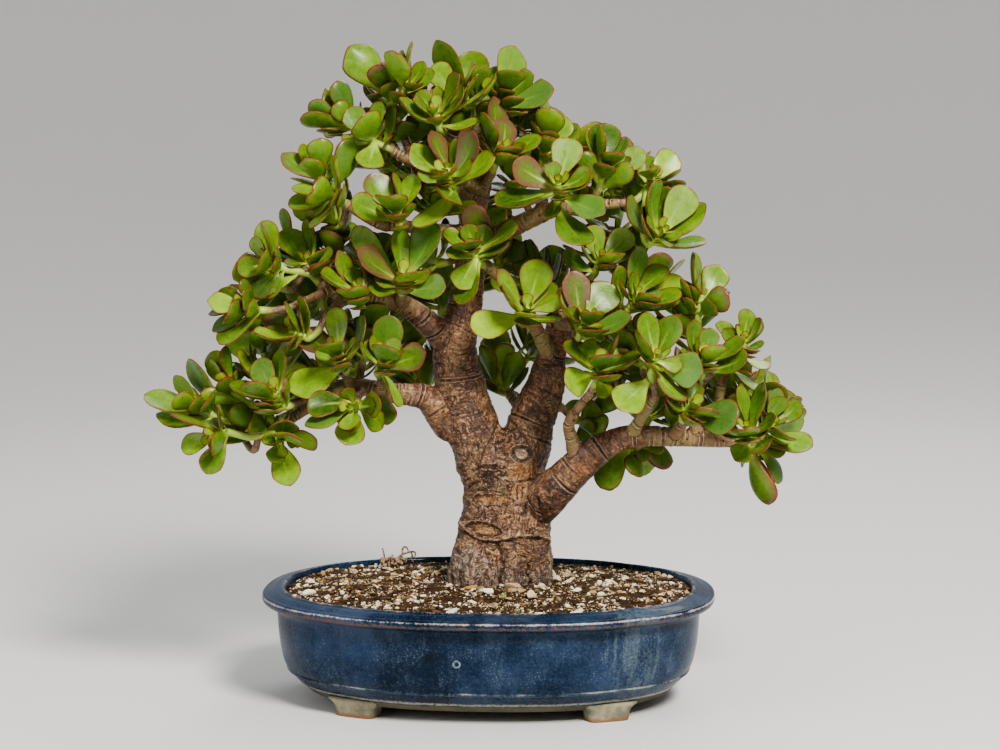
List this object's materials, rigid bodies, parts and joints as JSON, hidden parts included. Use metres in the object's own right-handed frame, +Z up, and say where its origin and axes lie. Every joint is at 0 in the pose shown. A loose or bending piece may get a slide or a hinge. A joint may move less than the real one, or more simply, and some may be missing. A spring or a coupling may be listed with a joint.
{
  "type": "jade bonsai",
  "caption": "Jade bonsai with a thick forked trunk, crooked limbs and clusters of fleshy leaves, in a low oval glazed pot on small feet.",
  "frame": {"origin": "under the middle of the whole plant's box, on the surface that the pot's feet stand on", "axes": "+X along the pot's long way to the right as seen from the front, +Y toward the back, +Z up"},
  "size_m": [0.4316, 0.2488, 0.4304],
  "materials": {
    "glaze": "glossy mottled blue glaze",
    "soil": "loose grit and dark soil",
    "bark": "rough bark",
    "leaf": "smooth waxy leaf"
  },
  "bodies": {
    "root": {"pot": "glaze", "soil": "soil", "wood": "bark", "stem_B1": "leaf", "stem_D1": "leaf", "stem_D4": "leaf", "stem_D7": "leaf", "stem_DK": "leaf", "stem_E1": "leaf", "stem_E2": "leaf", "stem_E3": "leaf", "stem_E4": "leaf", "stem_E5": "leaf", "stem_E6": "leaf", "stem_F1": "leaf", "stem_F10": "leaf", "stem_F12": "leaf", "stem_F3": "leaf", "stem_F4": "leaf", "stem_F6": "leaf", "stem_F7": "leaf", "stem_F8": "leaf", "stem_F9": "leaf", "stem_FK": "leaf", "stem_L10": "leaf", "stem_L2": "leaf", "stem_L5": "leaf", "stem_L8": "leaf", "stem_L9": "leaf", "stem_M2": "leaf", "stem_M3": "leaf", "stem_M5": "leaf", "stem_M7": "leaf", "stem_M8": "leaf", "stem_R10a": "leaf", "stem_R11a": "leaf", "stem_R12a": "leaf", "stem_R1a": "leaf", "stem_R2a": "leaf", "stem_R3a": "leaf", "stem_R4a": "leaf", "stem_R5a": "leaf", "stem_R6a": "leaf", "stem_R7a": "leaf", "stem_R8a": "leaf", "stem_R9a": "leaf", "stem_U10": "leaf", "stem_U2": "leaf", "stem_U5": "leaf", "stem_U6": "leaf", "stem_U7": "leaf", "stem_U8": "leaf"}
  },
  "joints": []
}
